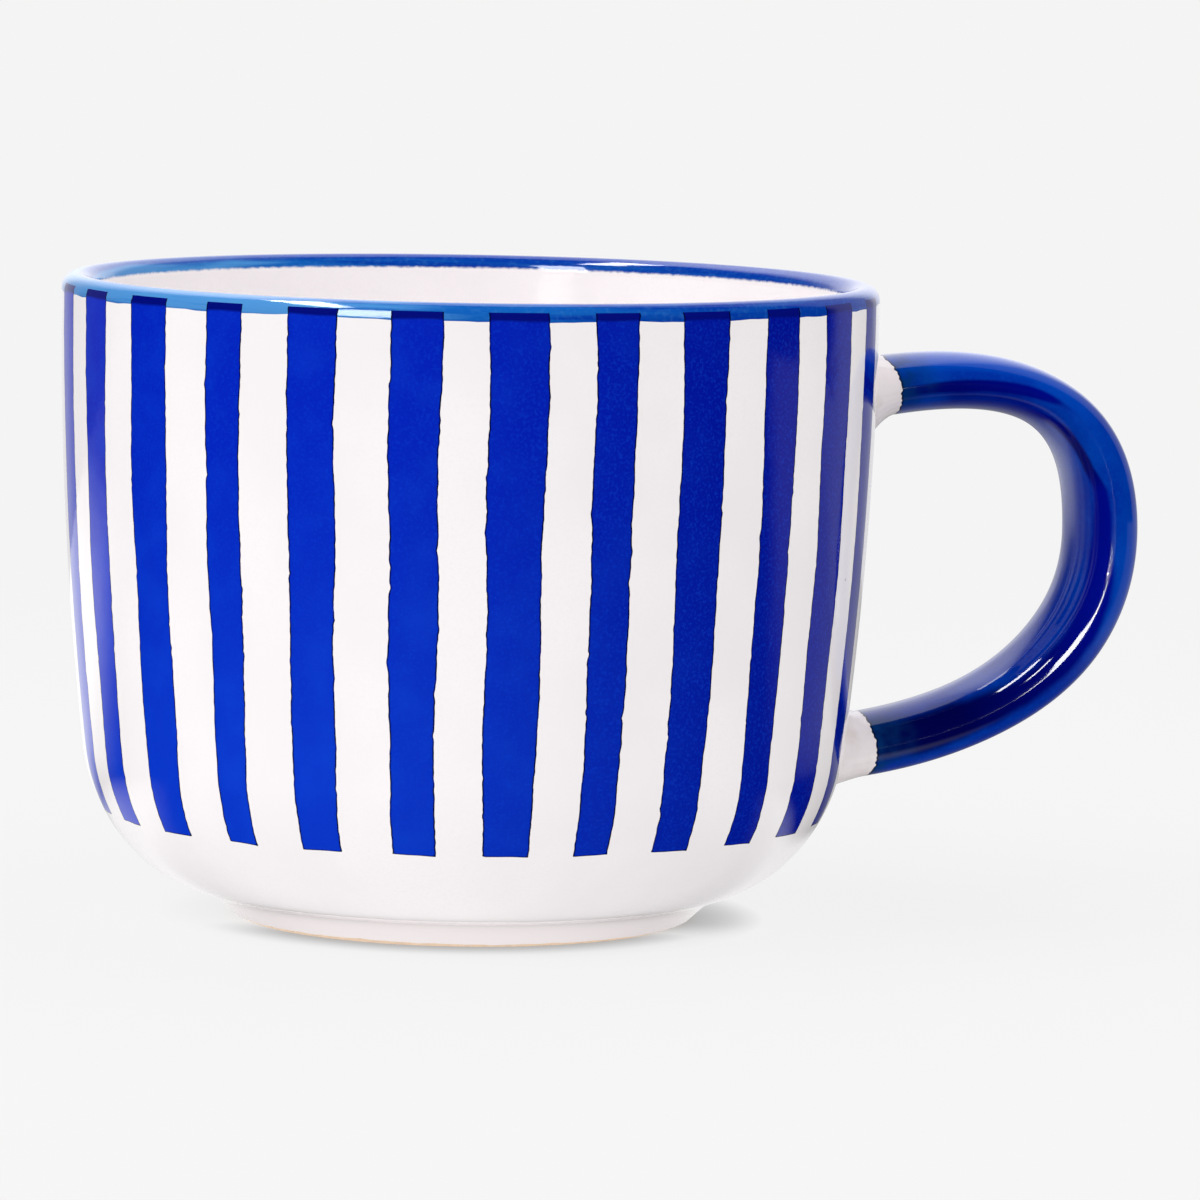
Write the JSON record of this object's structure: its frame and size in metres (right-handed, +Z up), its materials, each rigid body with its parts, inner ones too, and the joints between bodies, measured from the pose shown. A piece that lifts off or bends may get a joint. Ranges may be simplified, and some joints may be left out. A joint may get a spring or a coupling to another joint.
{
  "type": "soup mug",
  "caption": "Wide round-bellied soup mug with a loop handle, low foot ring, white glaze, upright blue stripes and a blue rim",
  "frame": {"origin": "centre of the foot ring, on the table", "axes": "+Z up along the pot's axis, +X from the axis out through the handle"},
  "size_m": [0.1524, 0.112, 0.088],
  "materials": {
    "clay": "bare fired stoneware",
    "white_glaze": "glossy white glaze",
    "stripe_blue": "glossy cobalt blue, brushed on",
    "rim_blue": "glossy mid blue, thin and streaky",
    "handle_blue": "glossy dark blue that breaks to pale blue on the edges"
  },
  "bodies": {
    "root": {"clay_body": "clay", "handle": "clay", "upper_joint": "white_glaze", "lower_joint": "white_glaze", "inner_glaze": "white_glaze", "outer_glaze": "white_glaze", "base_glaze": "white_glaze", "rim_band": "rim_blue", "handle_glaze": "handle_blue", "stripe_01": "stripe_blue", "stripe_02": "stripe_blue", "stripe_03": "stripe_blue", "stripe_04": "stripe_blue", "stripe_05": "stripe_blue", "stripe_06": "stripe_blue", "stripe_07": "stripe_blue", "stripe_08": "stripe_blue", "stripe_09": "stripe_blue", "stripe_10": "stripe_blue", "stripe_11": "stripe_blue", "stripe_12": "stripe_blue", "stripe_13": "stripe_blue", "stripe_14": "stripe_blue", "stripe_15": "stripe_blue", "stripe_16": "stripe_blue", "stripe_17": "stripe_blue", "stripe_18": "stripe_blue", "stripe_19": "stripe_blue", "stripe_20": "stripe_blue", "stripe_21": "stripe_blue", "stripe_22": "stripe_blue", "stripe_23": "stripe_blue", "stripe_24": "stripe_blue", "stripe_25": "stripe_blue", "stripe_26": "stripe_blue"}
  },
  "joints": []
}
